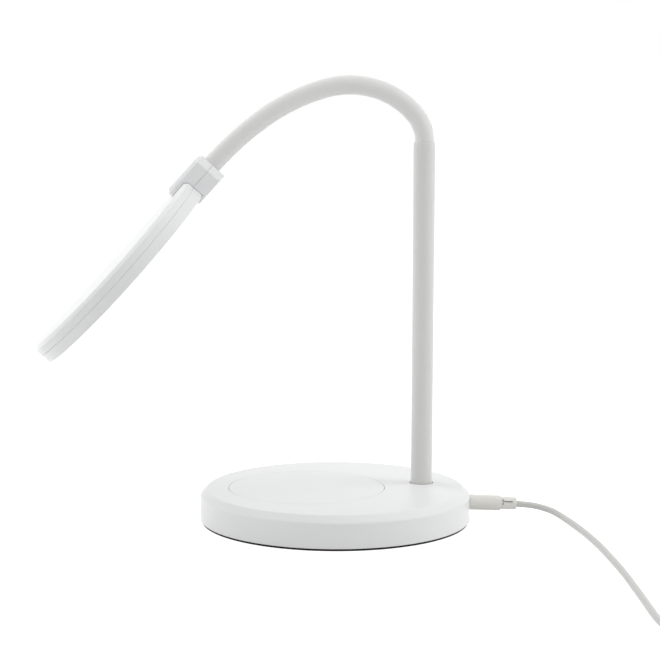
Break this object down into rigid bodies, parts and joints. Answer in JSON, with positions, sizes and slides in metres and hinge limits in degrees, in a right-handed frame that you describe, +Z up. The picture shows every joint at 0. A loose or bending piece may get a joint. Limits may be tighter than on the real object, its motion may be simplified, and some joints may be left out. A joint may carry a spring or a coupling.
{
  "type": "desk lamp",
  "caption": "Desk lamp with a thin round charging base, an upright post, a flexible neck and a flat round head lit by LEDs.",
  "frame": {"origin": "centre of the round base's underside, on the table", "axes": "+Z up, +X from the charging plate's centre to the power socket, +Y away from the side that shows the neck's bend to the left"},
  "size_m": [0.3581, 0.354, 0.2463],
  "materials": {
    "white_casing": "fine satin moulded plastic, off-white",
    "arm_paint": "satin powder coat, slightly warm white",
    "arm_sleeve": "smooth matt silicone sleeve, slightly warm white",
    "steel": "plain zinc-plated steel",
    "inner_plastic": "plain moulded plastic",
    "pad_rubber": "matt black rubber",
    "copper": "lacquered copper winding",
    "ferrite": "dull dark ferrite",
    "board": "lacquered circuit board",
    "led": "phosphor-coated chips",
    "inner_cable": "thin insulated wire",
    "opal": "opal acrylic, satin",
    "clear_guide": "clear acrylic",
    "aluminium": "plain sheet",
    "lead_grey": "soft warm light-grey plastic",
    "plug_metal": "nickel plate",
    "tie_black": "black hook-and-loop tape"
  },
  "bodies": {
    "root": {"base_shell": "white_casing", "charge_plate": "white_casing", "charge_coil": "copper", "ferrite_sheet": "ferrite", "coil_tray": "inner_plastic", "charger_board": "board", "control_board": "board", "board_studs": "steel", "socket_board": "board", "power_socket": "inner_plastic", "touch_spring": "steel", "ballast_plate": "steel", "bottom_cover": "inner_plastic", "base_pad": "pad_rubber", "base_screws": "steel", "base_leads": "inner_cable", "post": "arm_paint", "post_foot": "steel", "foot_screws": "steel", "post_cable": "inner_cable"},
    "neck_root": {"neck_root_ferrule": "steel"},
    "neck_link_1": {"neck_sleeve_1": "arm_sleeve", "neck_core_1": "steel", "neck_cable_1": "inner_cable"},
    "neck_link_2": {"neck_sleeve_2": "arm_sleeve", "neck_core_2": "steel", "neck_cable_2": "inner_cable"},
    "neck_link_3": {"neck_sleeve_3": "arm_sleeve", "neck_core_3": "steel", "neck_cable_3": "inner_cable"},
    "neck_link_4": {"neck_sleeve_4": "arm_sleeve", "neck_core_4": "steel", "neck_cable_4": "inner_cable"},
    "neck_link_5": {"neck_sleeve_5": "arm_sleeve", "neck_core_5": "steel", "neck_cable_5": "inner_cable"},
    "head": {"neck_tip_ferrule": "steel", "bracket_upper": "white_casing", "bracket_lower": "white_casing", "bracket_screws": "steel", "head_back": "white_casing", "head_rim": "white_casing", "head_screws": "steel", "diffuser": "opal", "light_guide": "clear_guide", "reflector_sheet": "inner_plastic", "led_strip": "board", "led_chips": "led", "heat_plate": "aluminium", "head_leads": "inner_cable"},
    "lead": {"plug_barrel": "plug_metal", "plug_housing": "lead_grey", "plug_relief": "lead_grey", "lead_cord": "lead_grey", "lead_coil": "lead_grey", "lead_tail": "lead_grey", "coil_tie": "tie_black", "usb_body": "lead_grey", "usb_shell": "plug_metal"}
  },
  "joints": [
    {"name": "arm_swivel", "type": "hinge", "parent": "root", "child": "neck_root", "pos_m": [0.0495, 0.009, 0.2022], "axis": [0, 0, 1], "range_deg": [-75, 75]},
    {"name": "lower_bend", "type": "hinge", "parent": "neck_root", "child": "neck_link_1", "pos_m": [0.0495, 0.009, 0.2105], "axis": [0, -1, 0], "range_deg": [-12, 2]},
    {"name": "lower_bend_2", "type": "hinge", "parent": "neck_link_1", "child": "neck_link_2", "pos_m": [0.04431, 0.009, 0.22477], "axis": [0, -1, 0], "range_deg": [-19.2, 3.2]},
    {"name": "lower_bend_3", "type": "hinge", "parent": "neck_link_2", "child": "neck_link_3", "pos_m": [0.02573, 0.009, 0.2379], "axis": [0, -1, 0], "range_deg": [-19.2, 3.2]},
    {"name": "upper_bend", "type": "hinge", "parent": "neck_link_3", "child": "neck_link_4", "pos_m": [-0.00571, 0.009, 0.23913], "axis": [0, -1, 0], "range_deg": [-20, 12]},
    {"name": "upper_bend_2", "type": "hinge", "parent": "neck_link_4", "child": "neck_link_5", "pos_m": [-0.03969, 0.009, 0.22256], "axis": [0, -1, 0], "range_deg": [-20, 12]},
    {"name": "upper_bend_3", "type": "hinge", "parent": "neck_link_5", "child": "head", "pos_m": [-0.0668, 0.009, 0.19836], "axis": [0, -1, 0], "range_deg": [-20, 12]},
    {"name": "plug_pull", "type": "slide", "parent": "root", "child": "lead", "axis": [1, 0, 0], "range_m": [0, 0.01]}
  ],
  "couplings": [
    {"joint": "lower_bend_2", "follows": "lower_bend", "ratio": 1.6},
    {"joint": "lower_bend_3", "follows": "lower_bend", "ratio": 1.6},
    {"joint": "upper_bend_2", "follows": "upper_bend", "ratio": 1},
    {"joint": "upper_bend_3", "follows": "upper_bend", "ratio": 1}
  ]
}
